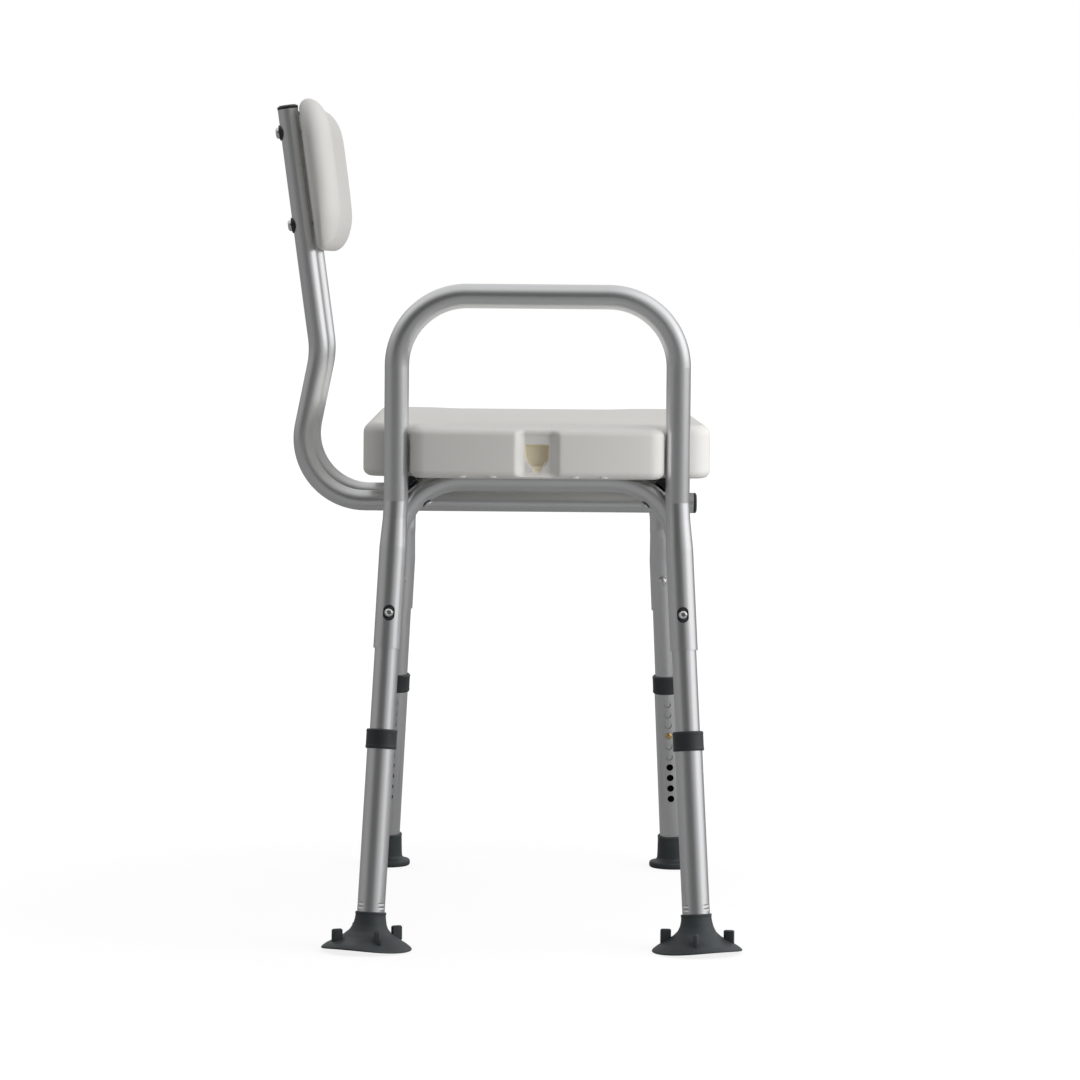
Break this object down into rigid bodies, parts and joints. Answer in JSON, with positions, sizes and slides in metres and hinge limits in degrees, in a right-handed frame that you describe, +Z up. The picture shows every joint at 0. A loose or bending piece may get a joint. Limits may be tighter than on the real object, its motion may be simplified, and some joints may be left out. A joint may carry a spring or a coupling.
{
  "type": "bathtub transfer bench",
  "caption": "Height-adjustable bath transfer bench with a moulded seat, backrest, looped arm, splayed tube legs, suction cups and rubber tips.",
  "frame": {"origin": "on the floor at the middle of the bench's overall width and length", "axes": "+Z up; +Y from the end with the arm towards the far end, along the seat's length; +X towards the open front, away from the backrest"},
  "size_m": [0.5022, 0.7398, 0.8864],
  "materials": {
    "aluminium": "satin anodised",
    "white_plastic": "fine matte moulded",
    "grey_rubber": "matte",
    "dark_plastic": "satin",
    "chrome": "polished",
    "brass": "polished",
    "spring_steel": "plain"
  },
  "bodies": {
    "frame": {"arm_frame": "aluminium", "near_bow": "aluminium", "bow_plugs": "dark_plastic", "bow_bolts": "chrome", "bow_nuts": "chrome", "far_leg_frame": "aluminium", "front_rail": "aluminium", "rear_rail": "aluminium", "rail_caps": "dark_plastic", "rail_saddles": "dark_plastic", "rail_bolts": "chrome", "seat": "white_plastic", "seat_screws": "chrome", "back_tube_near": "aluminium", "back_tube_far": "aluminium", "back_saddles": "dark_plastic", "back_bolts": "chrome", "front_caps": "dark_plastic", "top_caps": "dark_plastic", "backrest": "white_plastic", "backrest_screws": "chrome", "saddle_washers": "dark_plastic", "upper_leg_near_front": "aluminium", "upper_leg_near_rear": "aluminium", "upper_leg_far_front": "aluminium", "upper_leg_far_rear": "aluminium", "spring_near_front": "spring_steel", "spring_near_rear": "spring_steel", "spring_far_front": "spring_steel", "spring_far_rear": "spring_steel", "leg_bolts": "chrome", "leg_nuts": "chrome"},
    "leg_near_front": {"lower_leg_near_front": "aluminium", "collar_near_front": "dark_plastic", "suction_foot_front": "grey_rubber"},
    "press_near_front": {"button_near_front": "brass"},
    "leg_near_rear": {"lower_leg_near_rear": "aluminium", "collar_near_rear": "dark_plastic", "suction_foot_rear": "grey_rubber"},
    "press_near_rear": {"button_near_rear": "brass"},
    "leg_far_front": {"lower_leg_far_front": "aluminium", "collar_far_front": "dark_plastic", "rubber_tip_front": "grey_rubber"},
    "press_far_front": {"button_far_front": "brass"},
    "leg_far_rear": {"lower_leg_far_rear": "aluminium", "collar_far_rear": "dark_plastic", "rubber_tip_rear": "grey_rubber"},
    "press_far_rear": {"button_far_rear": "brass"}
  },
  "joints": [
    {"name": "leg_near_front_slide", "type": "slide", "parent": "frame", "child": "leg_near_front", "axis": [0.051, -0.1278, -0.9905], "range_m": [-0.0762, 0.0381], "deforming": ["button_near_front", "spring_near_front"]},
    {"name": "leg_near_rear_slide", "type": "slide", "parent": "frame", "child": "leg_near_rear", "axis": [-0.051, -0.1278, -0.9905], "range_m": [-0.0762, 0.0381], "deforming": ["button_near_rear", "spring_near_rear"]},
    {"name": "leg_far_front_slide", "type": "slide", "parent": "frame", "child": "leg_far_front", "axis": [0.051, 0.1278, -0.9905], "range_m": [-0.0762, 0.0381], "deforming": ["button_far_front", "spring_far_front"]},
    {"name": "leg_far_rear_slide", "type": "slide", "parent": "frame", "child": "leg_far_rear", "axis": [-0.051, 0.1278, -0.9905], "range_m": [-0.0762, 0.0381], "deforming": ["button_far_rear", "spring_far_rear"]},
    {"name": "button_near_front_press", "type": "slide", "parent": "frame", "child": "press_near_front", "axis": [-0.0066, -0.9918, 0.1276], "range_m": [0, 0.0044], "stiffness_N_per_m": 2500, "springref_m": -0.002, "deforming": ["spring_near_front"]},
    {"name": "button_near_rear_press", "type": "slide", "parent": "frame", "child": "press_near_rear", "axis": [0.0066, -0.9918, 0.1276], "range_m": [0, 0.0044], "stiffness_N_per_m": 2500, "springref_m": -0.002, "deforming": ["spring_near_rear"]},
    {"name": "button_far_front_press", "type": "slide", "parent": "frame", "child": "press_far_front", "axis": [-0.0066, 0.9918, 0.1276], "range_m": [0, 0.0044], "stiffness_N_per_m": 2500, "springref_m": -0.002, "deforming": ["spring_far_front"]},
    {"name": "button_far_rear_press", "type": "slide", "parent": "frame", "child": "press_far_rear", "axis": [0.0066, 0.9918, 0.1276], "range_m": [0, 0.0044], "stiffness_N_per_m": 2500, "springref_m": -0.002, "deforming": ["spring_far_rear"]}
  ]
}
